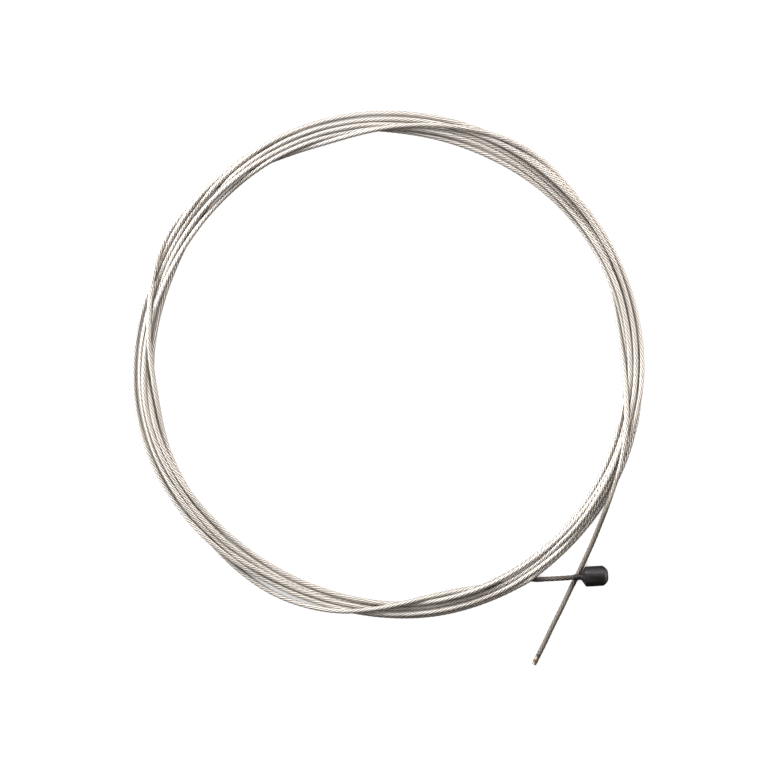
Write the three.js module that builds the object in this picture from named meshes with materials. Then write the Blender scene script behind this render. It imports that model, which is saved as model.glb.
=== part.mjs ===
// A bicycle shift cable, coiled up and lying flat on z = 0.
// A stranded steel wire rope carries a cast barrel head on one end and a fused tip on the other.
// Millimetres and degrees, +Z up. Angles count from +X towards +Y, seen from above.
import * as THREE from 'three';

// Rope
const ropeDiameter = 1.1;
const ropeSides = 8;
const stepsPerDiameter = 1 / 2.5;

// Coil: the bundle of turns, as one ring
const coilDiameter = 108.8; // across the middle of the bundle
const coilWidth = 4.8;
const coilHeight = 2.9;
const coilRounding = 1.2;
const coilSegments = 96;

// Head, from its free end towards the rope
const headDiameter = 4.5;
const bevel = [[0, 1.25], [0.2, 0.83], [0.6, 0.38], [0.95, 0.12], [1.15, 0]]; // along, and in from the barrel
const barrelLength = 3.9;
const coneLength = 0.8;
const coneEndDiameter = 1.7;
const neckDiameter = 1.3;
const neckLength = 1.75;
const headSegments = 48;

// Where the two ends lie
const leadAngle = -55.3; // place on the coil where the head's end comes out from under it
const leadLength = 7.95; // free rope between the coil and the neck
const leadTurn = 4.5; // direction of that rope, towards the head
const headTurn = 3.4; // direction of the head's free end
const tailAngle = -34.5; // place on the coil where the free end comes down from the top
const tipLength = 1.95;

// Room between pieces that touch
const clearance = 0.3;

// The free end's route, from its start beside the coil: right, away and height over lying flat
const tailRoute = [
  [0, 0, 1.5],
  [-1.2, -3.1, 1.1],
  [-2.5, -6.4, 0.7],
  [-3.7, -9.1, 0.4],
  [-4.95, -11.85, 0.15],
  [-6.25, -14.55, 0.03],
  [-7.5, -17.1, 0],
  [-9.4, -21.1, 0],
  [-11.4, -25.1, 0],
  [-13.3, -29.1, 0],
  [-15.5, -33.5, 0],
];

const ropeRadius = ropeDiameter / 2;
const headRadius = headDiameter / 2;
const bevelLength = bevel.at(-1)[0];
const coilOuterRadius = (coilDiameter + coilWidth) / 2;

const steel = { color: 0xb9b3aa, roughness: 0.35, metalness: 0.9 };
const darkCasting = { color: 0x2c2b2d, roughness: 0.45, metalness: 0.3 };
const bronze = { color: 0x9c6a35, roughness: 0.4, metalness: 0.8 };

function piece(name, geometry, finish) {
  const mesh = new THREE.Mesh(geometry, new THREE.MeshStandardMaterial(finish));
  mesh.name = name;
  return mesh;
}

// A point beside the coil's outer wall, at an angle and a distance from it
function besideCoil(angle, distance) {
  const turn = THREE.MathUtils.degToRad(angle);
  const radius = coilOuterRadius + distance;
  return new THREE.Vector3(radius * Math.cos(turn), radius * Math.sin(turn), 0);
}

// A level direction, as an angle from +X
function levelDirection(angle) {
  const turn = THREE.MathUtils.degToRad(angle);
  return new THREE.Vector3(Math.cos(turn), Math.sin(turn), 0);
}

// A plain stretch of rope along a curve
function ropeAlong(curve) {
  const outline = [];
  for (let side = 0; side < ropeSides; side += 1) {
    const turn = ((side + 0.5) / ropeSides) * Math.PI * 2;
    outline.push(new THREE.Vector2(ropeRadius * Math.cos(turn), ropeRadius * Math.sin(turn)));
  }
  const steps = Math.ceil((curve.getLength() / ropeDiameter) * stepsPerDiameter);
  const section = new THREE.Shape(outline);
  return new THREE.ExtrudeGeometry(section, { steps, bevelEnabled: false, extrudePath: curve });
}

// The part of a curve between two distances along it, as a smooth curve of its own
function stretchOf(curve, from, to, points) {
  const length = curve.getLength();
  const picked = [];
  for (let index = 0; index <= points; index += 1) {
    const distance = from + ((to - from) * index) / points;
    picked.push(curve.getPointAt(distance / length));
  }
  return new THREE.CatmullRomCurve3(picked);
}

// The coil: a ring whose section is the bundle's outer shape, flat where it lies
function makeCoil() {
  const half = coilWidth / 2 - coilRounding;
  const middle = coilDiameter / 2;
  const corners = [
    [middle + half, coilRounding, -90],
    [middle + half, coilHeight - coilRounding, 0],
    [middle - half, coilHeight - coilRounding, 90],
    [middle - half, coilRounding, 180],
  ];
  const cornerSteps = 3;
  const profile = [];
  for (const [radius, height, start] of corners) {
    for (let step = 0; step <= cornerSteps; step += 1) {
      const turn = THREE.MathUtils.degToRad(start + (90 * step) / cornerSteps);
      const out = coilRounding * Math.cos(turn);
      const up = coilRounding * Math.sin(turn);
      profile.push(new THREE.Vector2(radius + out, height + up));
    }
  }
  profile.push(profile[0].clone());
  return new THREE.LatheGeometry(profile, coilSegments).rotateX(Math.PI / 2);
}

// The head: one turned profile, with its axis along +X and its free end at x = 0
function makeHead() {
  const profile = [new THREE.Vector2(0, 0)];
  for (const [along, inset] of bevel) {
    profile.push(new THREE.Vector2(headRadius - inset, -along));
  }
  const barrelEnd = -(bevelLength + barrelLength);
  const coneEnd = barrelEnd - coneLength;
  const neckEnd = coneEnd - neckLength;
  profile.push(new THREE.Vector2(headRadius, barrelEnd));
  profile.push(new THREE.Vector2(coneEndDiameter / 2, coneEnd));
  profile.push(new THREE.Vector2(neckDiameter / 2, coneEnd - (coneEndDiameter - neckDiameter) / 2));
  profile.push(new THREE.Vector2(neckDiameter / 2, neckEnd));
  profile.push(new THREE.Vector2(0, neckEnd));
  return new THREE.LatheGeometry(profile.reverse(), headSegments).rotateZ(-Math.PI / 2);
}

const cable = new THREE.Group();

cable.add(piece('coil', makeCoil(), steel));

// The head lies on its barrel, at the end of the lead that comes from under the coil
const headDirection = levelDirection(headTurn);
const leadDirection = levelDirection(leadTurn);
const leadEntry = besideCoil(leadAngle, clearance + ropeRadius);
const neckEnd = leadEntry.clone().addScaledVector(leadDirection, leadLength);
const headLength = bevelLength + barrelLength + coneLength + neckLength;
const headFace = neckEnd.clone().addScaledVector(headDirection, headLength);

const head = piece('cable_head', makeHead(), darkCasting);
head.position.set(headFace.x, headFace.y, headRadius);
head.rotation.z = THREE.MathUtils.degToRad(headTurn);
cable.add(head);

// The lead leaves the neck straight, then comes down to go under the coil
const leadHeights = [
  [1, 1],
  [0.75, 1],
  [0.45, 0.55],
  [0.2, 0.1],
  [0, 0],
];
const leadPoints = leadHeights.map(([along, up]) => {
  const point = leadEntry.clone().addScaledVector(leadDirection, along * (leadLength - clearance));
  point.z = ropeRadius + up * (headRadius - ropeRadius);
  return point;
});
cable.add(piece('head_lead', ropeAlong(new THREE.CatmullRomCurve3(leadPoints)), steel));

// The free end comes down beside the coil, passes under the neck and lies flat to its tip
const tailStart = besideCoil(tailAngle, clearance + ropeRadius);
const tailPoints = tailRoute.map(([right, away, up]) => (
  new THREE.Vector3(tailStart.x + right, tailStart.y + away, ropeRadius + up)
));
const tailCurve = new THREE.CatmullRomCurve3(tailPoints);
const tailLength = tailCurve.getLength();
const tailEnd = tailLength - tipLength - clearance;
cable.add(piece('tail', ropeAlong(stretchOf(tailCurve, 0, tailEnd, tailPoints.length)), steel));

const tipCurve = stretchOf(tailCurve, tailLength - tipLength, tailLength, 2);
cable.add(piece('fused_tip', ropeAlong(tipCurve), bronze));

// The origin is on the table, under the middle of the whole cable
const box = new THREE.Box3().setFromObject(cable, true);
const middle = box.getCenter(new THREE.Vector3());
cable.position.set(-middle.x, -middle.y, -box.min.z);

export default cable;
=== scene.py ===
import math

import bmesh
import bpy
import numpy as np
from mathutils import Matrix, Vector


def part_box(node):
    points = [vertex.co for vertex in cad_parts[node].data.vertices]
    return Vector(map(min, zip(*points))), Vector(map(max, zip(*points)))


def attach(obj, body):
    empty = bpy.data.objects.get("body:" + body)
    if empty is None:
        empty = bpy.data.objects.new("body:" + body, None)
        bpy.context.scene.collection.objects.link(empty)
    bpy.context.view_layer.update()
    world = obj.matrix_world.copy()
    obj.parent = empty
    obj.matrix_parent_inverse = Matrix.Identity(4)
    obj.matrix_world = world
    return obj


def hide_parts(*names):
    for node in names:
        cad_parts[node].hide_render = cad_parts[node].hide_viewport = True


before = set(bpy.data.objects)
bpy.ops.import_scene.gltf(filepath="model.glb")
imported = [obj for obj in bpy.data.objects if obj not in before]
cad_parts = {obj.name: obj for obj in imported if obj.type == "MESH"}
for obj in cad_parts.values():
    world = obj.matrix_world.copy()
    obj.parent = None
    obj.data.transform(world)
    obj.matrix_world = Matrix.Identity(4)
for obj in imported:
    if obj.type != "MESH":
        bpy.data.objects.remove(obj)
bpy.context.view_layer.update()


# Camera
# It hangs straight above the middle of the cable, far enough away that the lens hardly narrows
# the rope with height. What it sees is the photograph's own square.
mm = 0.001
view_width = 172.4 * mm
view_middle = (-0.49 * mm, 0.04 * mm)
view_height = 1.5 * mm
lens_length = 135
film_width = 36
farthest_seen = 20

camera_data = bpy.data.cameras.new("camera")
camera_data.lens = lens_length
camera_data.sensor_width = film_width
camera_data.clip_end = farthest_seen
camera = bpy.data.objects.new("camera", camera_data)
camera.location = (*view_middle, view_height + view_width * lens_length / film_width)
bpy.context.scene.collection.objects.link(camera)
bpy.context.scene.camera = camera


# Wire rope
# Forty-nine drawn stainless wires: six strands of seven laid left-handed round a seventh, 1.1 mm
# thick. One length of 2.09 m runs from inside the head, six times round, and out to the cut end.
rope_diameter = 1.1 * mm
rope_radius = rope_diameter / 2
outer_strands = 6
lay_length = 7.14 * mm
lay_hand = -1
rings_per_lay = 11
ring_pitch = lay_length / rings_per_lay
samples_per_pitch = 4
lap_stations = 312
bundle_radius = 54.4 * mm
head_radius = 2.25 * mm
head_turn = math.radians(3.4)
lead_angle = math.radians(-55.3)
lead_turn = math.radians(4.5)
lead_length = 7.95 * mm
lead_inside_head = 1.2 * mm
tail_angle = math.radians(-34.5)
clearance = 0.3 * mm

coil_low, coil_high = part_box("coil")
coil_middle = Vector(((coil_low.x + coil_high.x) / 2, (coil_low.y + coil_high.y) / 2, 0))
beside_coil = (coil_high.x - coil_low.x) / 2 + clearance + rope_radius
head_direction = Vector((math.cos(head_turn), math.sin(head_turn), 0))
lead_direction = Vector((math.cos(lead_turn), math.sin(lead_turn), 0))


def around_coil(angle, radius):
    """A point of the table at an angle and a distance from the coil's middle."""
    return coil_middle + Vector((radius * math.cos(angle), radius * math.sin(angle), 0))


# The lead: how far along it from the coil, and how far up from the table to the head's axis
lead_heights = [(1, 1), (0.75, 1), (0.45, 0.55), (0.2, 0.1), (0, 0)]
lead_entry = around_coil(lead_angle, beside_coil)
lead_exit = lead_entry + lead_direction * (lead_length - clearance)
lead_exit.z = head_radius
lead_points = [lead_exit + lead_direction * lead_inside_head]
for along, up in lead_heights:
    point = lead_entry + lead_direction * along * (lead_length - clearance)
    point.z = rope_radius + up * (head_radius - rope_radius)
    lead_points.append(point)

# The turns: each lap is a list of places in the bundle, as degrees clockwise from the far side,
# millimetres outside the bundle's middle, and layer (0 is under all the others, 3.4 is over them).
laps = [
    [(147, 2.0, 0), (157, -1.6, 0), (168, -2.95, 1), (178, -1.8, 3), (186, 0, 3.4), (195, 1.6, 3),
     (207, 2.5, 1), (215, 2.1, 0), (230, 1.1, 0), (245, 0, 0), (262, -1.1, 0.2), (275, -1.45, 1),
     (290, -1.8, 1), (300, -1.5, 0.5), (315, 0.1, 0.5), (322, 0.6, 1), (330, 0.8, 2), (345, 0.8, 2),
     (360, 0.6, 2)],
    [(25, 1.0, 2), (50, 0.75, 2), (70, 0.3, 2), (90, 0.2, 2), (105, -0.2, 2), (115, -0.3, 2),
     (135, 0.2, 2), (150, 0.2, 2), (170, -0.3, 2), (180, -0.6, 2), (200, -0.9, 2), (210, -0.8, 2),
     (220, -0.3, 2), (230, 0.3, 2), (240, 0.8, 2), (250, 1.4, 2), (262, 1.4, 2), (275, 1.1, 2),
     (287, 0.4, 2), (300, 0.8, 2), (315, 1.5, 2), (330, 2.05, 2), (345, 2.25, 2), (360, 2.0, 2)],
    [(25, 1.7, 1), (50, 1.3, 1.2), (60, 1.4, 1.5), (75, 1.5, 2), (90, 1.6, 2), (105, 1.15, 2),
     (125, 0.8, 2), (140, 1.1, 2), (150, 1.25, 2), (170, 1.0, 2), (180, 0.65, 2), (200, 0.3, 2),
     (210, 0.4, 2), (220, 1.0, 2), (230, 1.7, 2), (240, 2.2, 2), (250, 2.7, 2), (262, 2.8, 2),
     (275, 2.4, 2), (290, 1.8, 2), (300, 2.0, 2), (315, 2.35, 2), (322, 2.25, 1.6), (330, 2.0, 1),
     (345, 0.2, 1), (360, -1.9, 1)],
    [(10, -2.4, 1), (25, -2.75, 1), (40, -2.45, 1), (60, -2.0, 1), (90, -1.6, 1), (120, -1.5, 1),
     (150, -1.3, 1), (180, -1.6, 1), (210, -1.3, 1), (222, -1.0, 1.3), (230, -0.6, 1.6),
     (240, -0.4, 2), (250, 0.3, 2), (262, 0.6, 2), (272, 0.2, 2), (281, -0.3, 2), (290, -1.05, 2),
     (300, -1.5, 2), (315, -1.7, 2), (330, -1.5, 2), (345, -1.5, 2), (360, -1.4, 1.5)],
    [(10, -1.3, 2), (25, -1.3, 2), (50, -1.4, 2), (70, -1.1, 2), (90, -1.2, 2), (105, -0.7, 2),
     (125, -0.8, 2), (150, -1.3, 2), (172, -1.4, 2), (180, -1.7, 2), (190, -2.25, 2), (200, -2.65, 2),
     (215, -2.75, 2), (225, -2.5, 2), (240, -1.65, 2), (250, -0.7, 2), (262, -0.4, 1.6),
     (281, -0.2, 1), (290, -0.2, 1), (304, -0.2, 2), (330, -0.4, 2), (345, -0.4, 2), (360, -0.7, 2)],
    [(25, -0.2, 2), (50, -0.4, 2), (60, -0.5, 1.6), (70, -0.5, 1), (80, 0.0, 1), (90, 0.95, 1),
     (100, 1.65, 1), (110, 1.75, 1), (137, 1.85, 1), (150, 2.0, 1), (170, 1.6, 1), (180, 1.0, 1),
     (210, -0.4, 1), (225, -1.2, 0.8), (240, -1.7, 0.8), (250, -1.55, 1), (256, -1.95, 1.4),
     (262, -2.2, 2), (268, -1.75, 2.6), (273, -1.05, 3), (281, 0, 3.4), (290, 1.9, 3),
     (296, 3.0, 2.2), (302, 3.5, 1.4), (309, 2.9, 0.4), (322, 0, 0), (332, -2.0, 0),
     (346, -2.8, 1), (357, -1.7, 2.6)],
    [(10, 0, 3.4), (22, 1.8, 3), (33, 2.75, 1.5), (45, 2.0, 0), (60, -0.4, 0), (70, -2.1, 0),
     (76, -2.65, 0.5), (83, -3.05, 1), (90, -2.6, 1.5), (97, -1.8, 2.6), (106, 0, 3.4), (117, 1.8, 3)],
]
marks = [(lap * 360 + turn, out, layer) for lap, lane in enumerate(laps) for turn, out, layer in lane]
mark_turn, mark_out, mark_layer = np.array(marks, float).T
stations = round((mark_turn[-1] - mark_turn[0]) * lap_stations / 360) + 1
station_turn = mark_turn[0] + np.arange(stations) * 360 / lap_stations

# How the turns settle: their distance apart, how strongly each is drawn back to its lane, and the
# rounds of sinking with how far the turns fall in each
turn_spacing = 1.02 * rope_diameter
least_spacing = 0.01 * mm
lane_pull = 0.1
corner_rounds = 12
bend_rounds = 2
push_rounds = 3
sinking = [(200, 0.02 * mm), (400, 0.01 * mm), (200, 0.003 * mm)]


def eased(values, rounds):
    """Values along the rope with their corners rounded, as stiff rope rounds them."""
    for _ in range(rounds):
        values = values.copy()
        values[1:-1] = (values[:-2] + 2 * values[1:-1] + values[2:]) / 4
    return values


def settle(lane, out, up, rounds, fall):
    """Lets the turns sink until they lie on the table and on each other, and hold their lanes."""
    for _ in range(rounds):
        up = eased(up - fall, bend_rounds)
        out = eased(out + lane_pull * (lane - out), bend_rounds)
        for _ in range(push_rounds):
            for apart in range(lap_stations, stations, lap_stations):
                side = out[apart:] - out[:-apart]
                rise = up[apart:] - up[:-apart]
                distance = np.maximum(np.hypot(side, rise), least_spacing)
                push = np.maximum(turn_spacing - distance, 0) / distance / 2
                # Each gives way half as much sideways as upwards, so that it keeps to its lane
                out[apart:] += push * side / 2
                out[:-apart] -= push * side / 2
                up[apart:] += push * rise
                up[:-apart] -= push * rise
            up = np.maximum(up, rope_radius)
            up[0] = rope_radius
            out[0] = lane[0]
            out[-1] = lane[-1]
    return out, up


lane = eased(np.interp(station_turn, mark_turn, mark_out * mm), corner_rounds)
out = lane.copy()
layers = eased(np.interp(station_turn, mark_turn, mark_layer), corner_rounds)
up = rope_radius + layers * rope_diameter
for rounds, fall in sinking:
    out, up = settle(lane, out, up, rounds, fall)

turn_points = []
for turn, station_out, station_up in zip(station_turn, out, up):
    point = around_coil(math.radians(90 - turn), bundle_radius + station_out)
    point.z = station_up
    turn_points.append(point)

# The free end: right, away and height over lying flat, from its start beside the coil
tail_route = [
    (0, 0, 1.5), (-1.2, -3.1, 1.1), (-2.5, -6.4, 0.7), (-3.7, -9.1, 0.4), (-4.95, -11.85, 0.15),
    (-6.25, -14.55, 0.03), (-7.5, -17.1, 0), (-9.4, -21.1, 0), (-11.4, -25.1, 0), (-13.3, -29.1, 0),
    (-15.5, -33.5, 0),
]
tail_start = around_coil(tail_angle, beside_coil)
tail_start.z = rope_radius
tail_points = [tail_start + Vector(step) * mm for step in tail_route]


def smooth_route(points, pitch):
    """Points a pitch apart on the smooth curve through the given ones."""
    points = np.array(points)
    run = np.concatenate(([0], np.cumsum(np.linalg.norm(np.diff(points, axis=0), axis=1))))
    slope = np.gradient(points, run, axis=0)
    at = np.arange(0, run[-1], pitch / samples_per_pitch)
    index = np.searchsorted(run, at, side="right") - 1
    span = (run[index + 1] - run[index])[:, None]
    share = (at - run[index])[:, None] / span
    back = 1 - share
    curve = (
        points[index] * back * back * (1 + 2 * share)
        + points[index + 1] * share * share * (1 + 2 * back)
        + (slope[index] * back - slope[index + 1] * share) * share * back * span
    )
    length = np.concatenate(([0], np.cumsum(np.linalg.norm(np.diff(curve, axis=0), axis=1))))
    even = np.linspace(0, length[-1], round(length[-1] / pitch) + 1)
    return np.stack([np.interp(even, length, curve[:, axis]) for axis in range(3)], axis=1)


def carried_frames(path):
    """Two directions across the path at each point, carried along it without turning about it."""
    along = np.gradient(path, axis=0)
    along /= np.linalg.norm(along, axis=1)[:, None]
    side = np.cross(along[0], (0, 0, 1))
    sides = []
    for direction in along:
        side = side - direction * (side @ direction)
        side = side / np.linalg.norm(side)
        sides.append(side)
    sides = np.array(sides)
    return sides, np.cross(along, sides)


# The last three rings belong to the brazed tip
brazed_rings = 3
whole_path = smooth_route(lead_points + turn_points + tail_points, ring_pitch)
rope_path = whole_path[: len(whole_path) - brazed_rings]

# One ring of the rope: for each outer strand its groove, a flank, its crown twice and a flank, as
# degrees from the strand's middle and distance from the rope's middle
strand_profile = [
    (-30, 0.40 * mm),
    (-24, 0.495 * mm),
    (-8, 0.553 * mm),
    (8, 0.553 * mm),
    (24, 0.495 * mm),
]
strand_degrees, strand_radius = np.array(strand_profile).T
strand_turn = 360 / outer_strands
ring_points = outer_strands * len(strand_profile)
ring_degrees = np.concatenate(
    [strand * strand_turn + strand_degrees for strand in range(outer_strands)]
)
ring_turn = np.radians(ring_degrees)
ring_radius = np.tile(strand_radius, outer_strands)
rope_sides, rope_ups = carried_frames(rope_path)
rope_run = np.arange(len(rope_path)) * ring_pitch
twist = lay_hand * rope_run[:, None] * 2 * math.pi / lay_length + ring_turn
rope_surface = (
    rope_path[:, None, :]
    + rope_sides[:, None, :] * (ring_radius * np.cos(twist))[:, :, None]
    + rope_ups[:, None, :] * (ring_radius * np.sin(twist))[:, :, None]
)
rope_faces = [tuple(range(ring_points))[::-1]]
last_ring = (len(rope_path) - 1) * ring_points
rope_faces.append(tuple(last_ring + index for index in range(ring_points)))
for ring in range(len(rope_path) - 1):
    for index in range(ring_points):
        after = (index + 1) % ring_points
        near = ring * ring_points
        far = near + ring_points
        rope_faces.append((near + index, near + after, far + after, far + index))

rope_mesh = bpy.data.meshes.new("wire_rope")
rope_mesh.from_pydata(rope_surface.reshape(-1, 3), [], rope_faces)
rope_mesh.shade_smooth()
for cut_end in rope_mesh.polygons[:2]:
    cut_end.use_smooth = False

# The unrolled rope: across is the outer strand's number, along is millimetres from the head
strands_across = ring_degrees / strand_turn
next_across = np.append(strands_across[1:], strands_across[0] + outer_strands)
walls = len(rope_path) - 1
ring_grid, point_grid = np.meshgrid(np.arange(walls), np.arange(ring_points), indexing="ij")
near_across = strands_across[point_grid]
far_across = next_across[point_grid]
corner_across = np.stack([near_across, far_across, far_across, near_across], axis=-1)
corner_rings = np.stack([ring_grid, ring_grid, ring_grid + 1, ring_grid + 1], axis=-1)
corner_along = corner_rings * ring_pitch / mm
wall = np.stack([corner_across, corner_along], axis=-1).reshape(-1, 2)
caps = np.zeros((2 * ring_points, 2))
unrolled = rope_mesh.uv_layers.new(name="unrolled")
unrolled.data.foreach_set("uv", np.concatenate([caps, wall]).astype(np.float32).ravel())

wire_rope = bpy.data.objects.new("wire_rope", rope_mesh)
bpy.context.scene.collection.objects.link(wire_rope)


class Shade:
    """One output in a material. Sums and products of them add the Math nodes that work them out."""

    def __init__(self, tree, socket=None):
        self.tree = tree
        self.socket = socket

    def node(self, kind, settings, inputs, output=0):
        """Adds a node, with its settings set first and then the values or links of its sockets."""
        made = self.tree.nodes.new(kind)
        for name, value in settings.items():
            setattr(made, name, value)
        for name, value in inputs.items():
            if isinstance(value, Shade):
                self.tree.links.new(value.socket, made.inputs[name])
            else:
                made.inputs[name].default_value = value
        return Shade(self.tree, made.outputs[output])

    def maths(self, operation, first, second=0.0):
        return self.node("ShaderNodeMath", {"operation": operation}, {0: first, 1: second})

    def __add__(self, other):
        return self.maths("ADD", self, other)

    def __radd__(self, other):
        return self.maths("ADD", other, self)

    def __sub__(self, other):
        return self.maths("SUBTRACT", self, other)

    def __rsub__(self, other):
        return self.maths("SUBTRACT", other, self)

    def __mul__(self, other):
        return self.maths("MULTIPLY", self, other)

    def __rmul__(self, other):
        return self.maths("MULTIPLY", other, self)

    def __pow__(self, other):
        return self.maths("POWER", self, other)


def mixed(share, first, second):
    """One colour going over into another."""
    inputs = {"Factor": share, "A": first, "B": second}
    return share.node("ShaderNodeMix", {"data_type": "RGBA"}, inputs, output="Result")


def new_material(name):
    """A material, its shader and a first shade to build from."""
    material = bpy.data.materials.new(name)
    material.use_nodes = True
    shader = material.node_tree.nodes["Principled BSDF"]
    return material, shader, Shade(material.node_tree)


steel_bright = (0.70, 0.685, 0.665, 1)
steel_warm = (0.62, 0.58, 0.53, 1)
# Brown of the painted shade, with some grime, in the grooves between strands
groove_shade_and_grime = (0.075, 0.056, 0.045, 1)
# Darker, browner steel colours towards the tip and towards the head
steel_darker_at_tip = (0.165, 0.147, 0.129, 1)
steel_darker_at_head = (0.088, 0.080, 0.075, 1)
groove_softness = 1.7
groove_shade_and_grime_depth = 0.95
groove_shade_and_grime_lost_at_tip = 0.7
polish = 0.45
streak_roughness = 0.08
groove_roughness = 0.2
tip_roughness = 0.03
wires_showing = 4
wire_relief = 0.02 * mm
wire_relief_share = 0.12
streak_spread = (2.5, 0.25, 1)
warmth_spread = (0.1, 0.03, 1)
rope_end = len(rope_path) * ring_pitch / mm
head_darker_from, head_darker_to = 10, 18
tip_darker_from, tip_darker_to = rope_end - 48, rope_end - 36

steel, steel_shader, start = new_material("drawn_steel")
unrolled_place = start.node("ShaderNodeUVMap", {"uv_map": "unrolled"}, {})
strand_across = start.node("ShaderNodeSeparateXYZ", {}, {0: unrolled_place})
rope_along = start.node("ShaderNodeSeparateXYZ", {}, {0: unrolled_place}, output=1)

# Painted shade in the groove between two strands, with some old grime: darker and browner there
from_crown = start.maths("PINGPONG", strand_across, 0.5) * 2
groove = from_crown ** groove_softness

# The wires of a strand lie along the rope, however the strand runs round it
turns_back = rope_along * (lay_hand * outer_strands * mm / lay_length)
wire_across = (strand_across + turns_back) * wires_showing
from_wire_top = start.maths("PINGPONG", wire_across, 0.5) * 2
wire_height = 1 - from_wire_top ** 2

# Streaks of handling, and slow changes from cool to warm steel along the rope
streak_place = start.node("ShaderNodeMapping", {}, {"Vector": unrolled_place, "Scale": streak_spread})
streaks = start.node("ShaderNodeTexNoise", {}, {"Vector": streak_place, "Scale": 1.0, "Detail": 3.0})
warm_place = start.node("ShaderNodeMapping", {}, {"Vector": unrolled_place, "Scale": warmth_spread})
warmth = start.node("ShaderNodeTexNoise", {}, {"Vector": warm_place, "Scale": 1.0, "Detail": 1.0})

# Towards both ends, along the lead and the free tail, the steel is coloured darker and browner
head_darkening = {
    "Value": rope_along,
    "From Min": head_darker_from,
    "From Max": head_darker_to,
    "To Min": 1.0,
    "To Max": 0.0,
}
near_head = start.node("ShaderNodeMapRange", {"interpolation_type": "SMOOTHSTEP"}, head_darkening)
near_tip = start.node(
    "ShaderNodeMapRange",
    {"interpolation_type": "SMOOTHSTEP"},
    {"Value": rope_along, "From Min": tip_darker_from, "From Max": tip_darker_to},
)

wire_colour = mixed(warmth, steel_bright, steel_warm)
colour_darker_at_ends = mixed(near_head, mixed(near_tip, wire_colour, steel_darker_at_tip), steel_darker_at_head)
# Painted groove shade with some grime, weaker near the tip
groove_shade_and_grime_share = groove * (groove_shade_and_grime_depth - near_tip * groove_shade_and_grime_lost_at_tip)
rope_colour = mixed(groove_shade_and_grime_share, colour_darker_at_ends, groove_shade_and_grime)
rope_roughness = polish + streaks * streak_roughness + groove * groove_roughness + near_tip * tip_roughness
rope_bump = start.node(
    "ShaderNodeBump", {}, {"Height": wire_height, "Strength": wire_relief_share, "Distance": wire_relief}
)
start.tree.links.new(rope_colour.socket, steel_shader.inputs["Base Color"])
start.tree.links.new(rope_roughness.socket, steel_shader.inputs["Roughness"])
start.tree.links.new(rope_bump.socket, steel_shader.inputs["Normal"])
steel_shader.inputs["Metallic"].default_value = 1.0
rope_mesh.materials.append(steel)

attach(wire_rope, "root")
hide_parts("coil", "head_lead", "tail")


# Cast head
# Zinc alloy cast in one shot round the rope's frayed end: a barrel with a rounded free end, a cone
# that takes the pull, and a short neck. Tumbled and dark plated, with a painted highlight, partly wear,
# where it stands proud.
barrel_length = 3.9 * mm
shoulder_length = 0.3 * mm
shoulder_radius = 2.15 * mm
cone_length = 0.8 * mm
cone_end_radius = 0.85 * mm
neck_radius = 0.65 * mm
neck_length = 1.75 * mm
flat_height = 1.97 * mm
edge_rounding = 0.12 * mm
edge_segments = 3
edge_angle = math.radians(12)
head_smooth_angle = math.radians(35)
head_sides = 64

# The rounded end, in millimetres: how far along from the face, and how far in from the barrel
bevel = [(0, 1.25), (0.2, 0.83), (0.6, 0.38), (0.95, 0.12), (1.15, 0)]
bevel_length = bevel[-1][0] * mm
head_length = bevel_length + barrel_length + cone_length + neck_length
head_face = lead_entry + lead_direction * lead_length + head_direction * head_length
head_face.z = head_radius

bpy.ops.object.select_all(action="DESELECT")
face_radius = head_radius - bevel[0][1] * mm
bpy.ops.mesh.primitive_circle_add(vertices=head_sides, radius=face_radius, fill_type="NGON")
cast_head = bpy.context.object
cast_head.name = "cast_head"
bpy.ops.object.mode_set(mode="EDIT")
bpy.ops.mesh.select_all(action="SELECT")


def draw_out(distance, start_radius, end_radius):
    """Extrudes the selected face down by a distance, to a new radius."""
    bpy.ops.mesh.extrude_region_move(TRANSFORM_OT_translate={"value": (0, 0, -distance)})
    scale = end_radius / start_radius
    bpy.ops.transform.resize(value=(scale, scale, 1))


for (down, inset), (next_down, next_inset) in zip(bevel, bevel[1:]):
    draw_out((next_down - down) * mm, head_radius - inset * mm, head_radius - next_inset * mm)
draw_out(barrel_length - shoulder_length, head_radius, head_radius)
draw_out(shoulder_length, head_radius, shoulder_radius)
draw_out(cone_length, shoulder_radius, cone_end_radius)
neck_fillet = cone_end_radius - neck_radius
draw_out(neck_fillet, cone_end_radius, neck_radius)
draw_out(neck_length - neck_fillet, neck_radius, neck_radius)

# The flat on the barrel's upper side, left bare
bpy.ops.mesh.select_all(action="SELECT")
bpy.ops.mesh.bisect(
    plane_co=(flat_height, 0, 0),
    plane_no=(1, 0, 0),
    use_fill=True,
    clear_outer=True,
)
bpy.ops.mesh.select_all(action="SELECT")
bpy.ops.mesh.normals_make_consistent(inside=False)
bpy.ops.object.mode_set(mode="OBJECT")

bpy.ops.object.modifier_add(type="BEVEL")
rounding = cast_head.modifiers[-1]
rounding.width = edge_rounding
rounding.segments = edge_segments
rounding.limit_method = "ANGLE"
rounding.angle_limit = edge_angle
bpy.ops.object.modifier_apply(modifier=rounding.name)
bpy.ops.object.shade_smooth_by_angle(angle=head_smooth_angle)

# Its free end looks along the head's direction and its flat looks up
head_place = Matrix((
    (0, -head_direction.y, head_direction.x, head_face.x),
    (0, head_direction.x, head_direction.y, head_face.y),
    (1, 0, 0, head_face.z),
    (0, 0, 0, 1),
))
cast_head.matrix_world = head_place
bpy.ops.object.transform_apply(location=True, rotation=True, scale=True)

casting_dark = (0.0145, 0.014, 0.0155, 1)
casting_pale = (0.075, 0.072, 0.070, 1)
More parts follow.
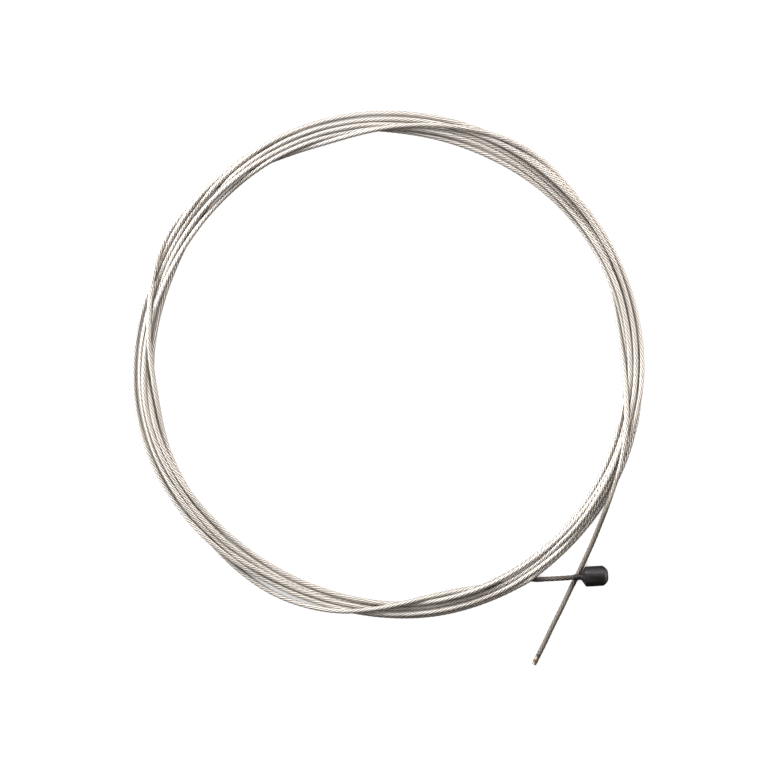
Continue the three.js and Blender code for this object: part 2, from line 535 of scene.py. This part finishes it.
# Pale of the painted highlight, partly wear, on the bevelled end and the flat's edges
casting_highlight_pale = (0.11, 0.105, 0.10, 1)
casting_cloudiness = 0.22
casting_polish = 0.36
blotch_roughness = 0.2
skin_grain = 2600.0
skin_relief = 0.03 * mm
skin_relief_share = 0.35
blotch_grain = 700.0
end_highlight_band = 0.8 * mm
end_highlight_band_full = 0.68 * mm
edge_highlight_width = 0.16 * mm
edge_highlight_full_width = 0.04 * mm
end_highlight_share = 0.45
edge_highlight_share = 0.6
flat_half = math.sqrt(head_radius ** 2 - flat_height ** 2)

casting, casting_shader, start = new_material("dark_casting")
object_place = start.node("ShaderNodeTexCoord", {}, {}, output="Object")
skin = start.node("ShaderNodeTexNoise", {}, {"Vector": object_place, "Scale": skin_grain, "Detail": 3.0})
blotches = start.node(
    "ShaderNodeTexNoise", {}, {"Vector": object_place, "Scale": blotch_grain, "Detail": 2.0}
)
casting_cloudy = mixed(blotches * casting_cloudiness, casting_dark, casting_pale)


def distance_along(place, direction, origin):
    """How far a place lies along a direction from a point."""
    inputs = {0: place, 1: direction}
    along = place.node("ShaderNodeVectorMath", {"operation": "DOT_PRODUCT"}, inputs, output="Value")
    return along - direction.dot(origin)


# Painted highlight, partly wear: the bevelled end and the long edges of the flat coloured paler, as where
# they catch the light
head_side = Vector((-head_direction.y, head_direction.x, 0))
head_along = distance_along(object_place, head_direction, head_face)
head_across = distance_along(object_place, head_side, head_face)
end_highlight = start.node(
    "ShaderNodeMapRange",
    {},
    {"Value": head_along, "From Min": -end_highlight_band, "From Max": -end_highlight_band_full},
)
from_edge = start.maths("ABSOLUTE", start.maths("ABSOLUTE", head_across) - flat_half)
edge_highlighting = {
    "Value": from_edge,
    "From Min": edge_highlight_full_width,
    "From Max": edge_highlight_width,
    "To Min": 1.0,
    "To Max": 0.0,
}
edge_highlight = start.node("ShaderNodeMapRange", {}, edge_highlighting)
# Painted highlight, partly wear, on the end and in patches on the flat's edges
highlight_and_wear = start.maths("MAXIMUM", end_highlight * end_highlight_share, edge_highlight * blotches * edge_highlight_share)
casting_colour = mixed(highlight_and_wear, casting_cloudy, casting_highlight_pale)
casting_roughness = casting_polish + blotches * blotch_roughness
skin_bump = start.node(
    "ShaderNodeBump", {}, {"Height": skin, "Strength": skin_relief_share, "Distance": skin_relief}
)
start.tree.links.new(casting_colour.socket, casting_shader.inputs["Base Color"])
start.tree.links.new(casting_roughness.socket, casting_shader.inputs["Roughness"])
start.tree.links.new(skin_bump.socket, casting_shader.inputs["Normal"])
casting_shader.inputs["Metallic"].default_value = 0.6
casting_shader.inputs["Specular IOR Level"].default_value = 0.4
cast_head.data.materials.append(casting)

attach(cast_head, "root")
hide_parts("cable_head")


# Brazed tip
# The last 2 mm of the rope, soaked with bronze braze so that the strands can't spread, then cut
# across. The braze fills the grooves and leaves the crowns showing.
tip_past_route = 0.2 * mm
tip_length = brazed_rings * ring_pitch + tip_past_route
tip_steps = 6
tip_flank_radius = 0.525 * mm
tip_groove_radius = 0.46 * mm
tip_rim = 0.08 * mm
tip_rim_scale = 0.93
tip_end_inset = 0.12 * mm
tip_smooth_angle = math.radians(50)
tip_points = outer_strands * 4
near_enough = 0.05

bpy.ops.object.select_all(action="DESELECT")
bpy.ops.mesh.primitive_circle_add(vertices=tip_points, radius=rope_radius, fill_type="NGON")
brazed_tip = bpy.context.object
brazed_tip.name = "brazed_tip"
bpy.ops.object.mode_set(mode="EDIT")


def select_points(test):
    """Selects the points of the mesh in edit mode that pass a test on their place."""
    edit_mesh = bmesh.from_edit_mesh(bpy.context.object.data)
    for vertex in edit_mesh.verts:
        vertex.select = test(vertex.co)
    edit_mesh.select_flush_mode()
    bmesh.update_edit_mesh(bpy.context.object.data)


def strand_share(place):
    """How far round its strand a point of the tip lies, from 0 on one crown to 1 on the next."""
    turn = math.atan2(place.y, place.x) / (2 * math.pi) * outer_strands
    return turn - math.floor(turn + near_enough)


bpy.ops.mesh.select_mode(type="VERT")
select_points(lambda place: abs(strand_share(place) - 0.5) < near_enough)
groove_scale = tip_groove_radius / rope_radius
bpy.ops.transform.resize(value=(groove_scale, groove_scale, 1), center_override=(0, 0, 0))
select_points(lambda place: abs(abs(strand_share(place) - 0.5) - 0.25) < near_enough)
flank_scale = tip_flank_radius / rope_radius
bpy.ops.transform.resize(value=(flank_scale, flank_scale, 1), center_override=(0, 0, 0))

# Drawn out step by step, each turned a little further round, as the strands lie. With no window the
# rotate operator turns the other way.
bpy.ops.mesh.select_mode(type="FACE")
bpy.ops.mesh.select_all(action="SELECT")
step_length = (tip_length - tip_rim) / tip_steps
step_turn = lay_hand * 2 * math.pi * step_length / lay_length
for step in range(tip_steps):
    bpy.ops.mesh.extrude_region_move(TRANSFORM_OT_translate={"value": (0, 0, step_length)})
    bpy.ops.transform.rotate(
        value=-step_turn,
        orient_axis="Z",
        orient_type="GLOBAL",
        center_override=(0, 0, (step + 1) * step_length),
    )
bpy.ops.mesh.extrude_region_move(TRANSFORM_OT_translate={"value": (0, 0, tip_rim)})
bpy.ops.transform.resize(value=(tip_rim_scale, tip_rim_scale, 1))
bpy.ops.mesh.inset(thickness=tip_end_inset)
bpy.ops.mesh.select_all(action="SELECT")
bpy.ops.mesh.normals_make_consistent(inside=False)
bpy.ops.object.mode_set(mode="OBJECT")
bpy.ops.object.shade_smooth_by_angle(angle=tip_smooth_angle)

# It carries on from the rope's last ring, crown for crown
tip_start = Vector(rope_path[-1])
tip_along = (Vector(whole_path[-1]) - tip_start).normalized()
tip_crown = Vector((rope_surface[-1, 2] + rope_surface[-1, 3]) / 2) - tip_start
tip_crown = (tip_crown - tip_along * tip_crown.dot(tip_along)).normalized()
tip_side = tip_along.cross(tip_crown)
brazed_tip.matrix_world = Matrix((
    (tip_crown.x, tip_side.x, tip_along.x, tip_start.x),
    (tip_crown.y, tip_side.y, tip_along.y, tip_start.y),
    (tip_crown.z, tip_side.z, tip_along.z, tip_start.z),
    (0, 0, 0, 1),
))
bpy.ops.object.transform_apply(location=True, rotation=True, scale=True)

bronze_colour = (0.17, 0.098, 0.05, 1)
braze_steel = (0.19, 0.172, 0.15, 1)
bronze_from_rope = 1.25 * mm
bronze_spread = 0.6 * mm
bronze_least, bronze_most = 0.2, 0.8
braze_grain = 900.0
braze_polish = 0.32
braze_roughness_spread = 0.25

braze, braze_shader, start = new_material("bronze_braze")
object_place = start.node("ShaderNodeTexCoord", {}, {}, output="Object")
patches = start.node(
    "ShaderNodeTexNoise", {}, {"Vector": object_place, "Scale": braze_grain, "Detail": 2.0}
)

# The bronze shows as a patchy band; before it and at the cut the dull steel shows through
down_tip = distance_along(object_place, tip_along, tip_start)
from_bronze = start.maths("ABSOLUTE", down_tip - bronze_from_rope) * (1 / bronze_spread)
bronze_share = start.node(
    "ShaderNodeMapRange",
    {},
    {"Value": patches + 0.5 - from_bronze, "From Min": bronze_least, "From Max": bronze_most},
)
braze_colour = mixed(bronze_share, braze_steel, bronze_colour)
braze_roughness = braze_polish + patches * braze_roughness_spread
start.tree.links.new(braze_colour.socket, braze_shader.inputs["Base Color"])
start.tree.links.new(braze_roughness.socket, braze_shader.inputs["Roughness"])
braze_shader.inputs["Metallic"].default_value = 0.9
brazed_tip.data.materials.append(braze)

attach(brazed_tip, "root")
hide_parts("fused_tip")


# Table and light
# A white table under a large soft light at the photograph's top edge, with a reflector on each side,
# a weak light overhead and a faint warm fill all round. Nothing stands at the bottom edge, so that
# the rope's near side stays dark.
table_size = 4.0
table_dark = (0.05, 0.043, 0.037, 1)
table_lit = (1, 1, 1, 1)
table_shaded = (0.10, 0.075, 0.06, 1)
shade_reach = 3 * mm
shade_samples = 8
deepest_shade, no_shade = 0.15, 0.42

bpy.ops.object.select_all(action="DESELECT")
bpy.ops.mesh.primitive_plane_add(size=table_size)
table_top = bpy.context.object
table_top.name = "table"

# The camera sees it glowing white, as a light table is, with a painted brown shade where the rope closes
# over it; the steel mirrors it as dark
table_white, table_shader, start = new_material("white_table")
table_shader.inputs["Base Color"].default_value = table_dark
table_shader.inputs["Roughness"].default_value = 0.8
table_shader.inputs["Specular IOR Level"].default_value = 0.0
seen_by_camera = start.node("ShaderNodeLightPath", {}, {}, output="Is Camera Ray")
open_sky = start.node(
    "ShaderNodeAmbientOcclusion", {"samples": shade_samples}, {"Distance": shade_reach}, output="AO"
)
# Painted shade: the glow turns brown where the rope shuts out the open sky, in gaps and beside it
unshaded = start.node(
    "ShaderNodeMapRange", {}, {"Value": open_sky, "From Min": deepest_shade, "From Max": no_shade}
)
glow_with_painted_shade = mixed(unshaded, table_shaded, table_lit)
glow = start.node("ShaderNodeEmission", {}, {"Color": glow_with_painted_shade, "Strength": seen_by_camera})
both = start.node("ShaderNodeAddShader", {}, {0: Shade(start.tree, table_shader.outputs[0]), 1: glow})
start.tree.links.new(both.socket, start.tree.nodes["Material Output"].inputs["Surface"])
table_top.data.materials.append(table_white)


def soft_light(name, place, size, power, colour):
    """A rectangular soft light that looks at the middle of the table."""
    light_data = bpy.data.lights.new(name, "AREA")
    light_data.shape = "RECTANGLE"
    light_data.size, light_data.size_y = size
    light_data.energy = power
    light_data.color = colour
    light = bpy.data.objects.new(name, light_data)
    light.location = place
    light.rotation_euler = (-Vector(place)).to_track_quat("-Z", "Y").to_euler()
    bpy.context.scene.collection.objects.link(light)


white = (1, 1, 1)
soft_white = (1, 0.98, 0.96)
warm_white = (1, 0.95, 0.9)
soft_light("key", place=(-0.18, 0.53, 0.4), size=(0.95, 0.45), power=7.2, colour=white)
soft_light("overhead", place=(0, 0.2, 1.0), size=(1.0, 0.8), power=0.9, colour=soft_white)
soft_light("left_reflector", place=(-0.55, 0.2, 0.3), size=(0.8, 0.5), power=11.0, colour=soft_white)
soft_light("right_reflector", place=(0.56, 0.23, 0.3), size=(0.8, 0.5), power=7.4, colour=warm_white)

fill_colour = (1, 0.88, 0.78, 1)
fill_strength = 0.1
world = bpy.data.worlds.new("studio")
world.use_nodes = True
background = world.node_tree.nodes["Background"]
background.inputs["Color"].default_value = fill_colour
background.inputs["Strength"].default_value = fill_strength
bpy.context.scene.world = world
bpy.context.scene.view_settings.view_transform = "Standard"
